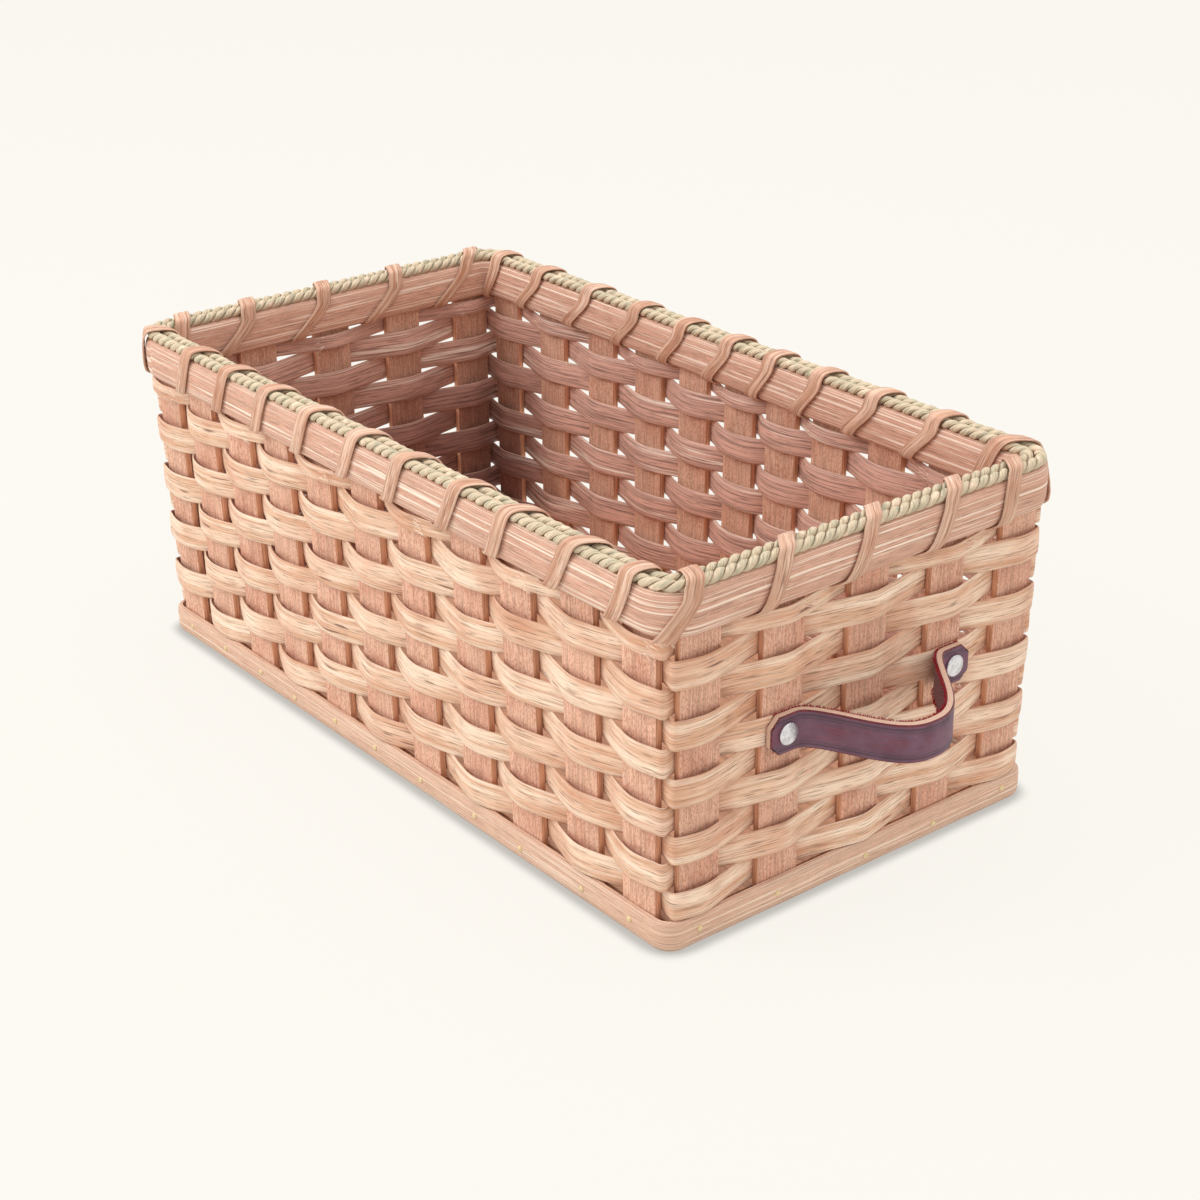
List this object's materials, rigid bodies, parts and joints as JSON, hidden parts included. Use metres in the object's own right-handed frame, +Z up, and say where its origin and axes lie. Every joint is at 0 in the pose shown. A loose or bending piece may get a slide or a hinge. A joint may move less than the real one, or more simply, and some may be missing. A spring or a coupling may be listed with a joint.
{
  "type": "woven storage basket",
  "caption": "Rectangular woven reed storage basket with flat uprights, wrapped rim with twisted cords, solid base board and a bowed leather strap handle on one short side.",
  "frame": {"origin": "on the floor under the middle of the base", "axes": "+X along the length towards the handle, +Y across the width, +Z up out of the opening"},
  "size_m": [0.4607, 0.2298, 0.1694],
  "materials": {
    "stake_reed": "raw flat reed, matt",
    "weaver_reed": "raw flat oval reed, matt, fine grain",
    "rim_reed": "raw flat oval reed, matt, pale streaks",
    "lashing_reed": "raw flat reed, matt",
    "seagrass": "two-ply twisted seagrass, dry",
    "board_wood": "plain sawn board, matt",
    "strap_leather": "waxed smooth face, raw edges",
    "rivet_metal": "tumbled nickel"
  },
  "bodies": {
    "root": {"base_board": "board_wood", "base_band": "rim_reed", "rim_band_outer": "rim_reed", "rim_band_inner": "rim_reed", "weaver_rim_row": "weaver_reed", "rim_lashing": "lashing_reed", "seagrass_cord_outer": "seagrass", "seagrass_cord_inner": "seagrass", "stake_front_1": "stake_reed", "stake_front_2": "stake_reed", "stake_front_3": "stake_reed", "stake_front_4": "stake_reed", "stake_front_5": "stake_reed", "stake_front_6": "stake_reed", "stake_front_7": "stake_reed", "stake_front_8": "stake_reed", "stake_front_9": "stake_reed", "stake_front_10": "stake_reed", "stake_front_11": "stake_reed", "stake_right_1": "stake_reed", "stake_right_2": "stake_reed", "stake_right_3": "stake_reed", "stake_right_4": "stake_reed", "stake_right_5": "stake_reed", "stake_back_1": "stake_reed", "stake_back_2": "stake_reed", "stake_back_3": "stake_reed", "stake_back_4": "stake_reed", "stake_back_5": "stake_reed", "stake_back_6": "stake_reed", "stake_back_7": "stake_reed", "stake_back_8": "stake_reed", "stake_back_9": "stake_reed", "stake_back_10": "stake_reed", "stake_back_11": "stake_reed", "stake_left_1": "stake_reed", "stake_left_2": "stake_reed", "stake_left_3": "stake_reed", "stake_left_4": "stake_reed", "stake_left_5": "stake_reed", "weaver_row_1": "weaver_reed", "weaver_row_2": "weaver_reed", "weaver_row_3": "weaver_reed", "weaver_row_4": "weaver_reed", "weaver_row_5": "weaver_reed", "weaver_row_6": "weaver_reed", "weaver_row_7": "weaver_reed", "weaver_row_8": "weaver_reed", "weaver_row_9": "weaver_reed", "handle_strap": "strap_leather", "rivet_1": "rivet_metal", "rivet_2": "rivet_metal", "rivet_cap_1": "rivet_metal", "rivet_cap_2": "rivet_metal"}
  },
  "joints": []
}
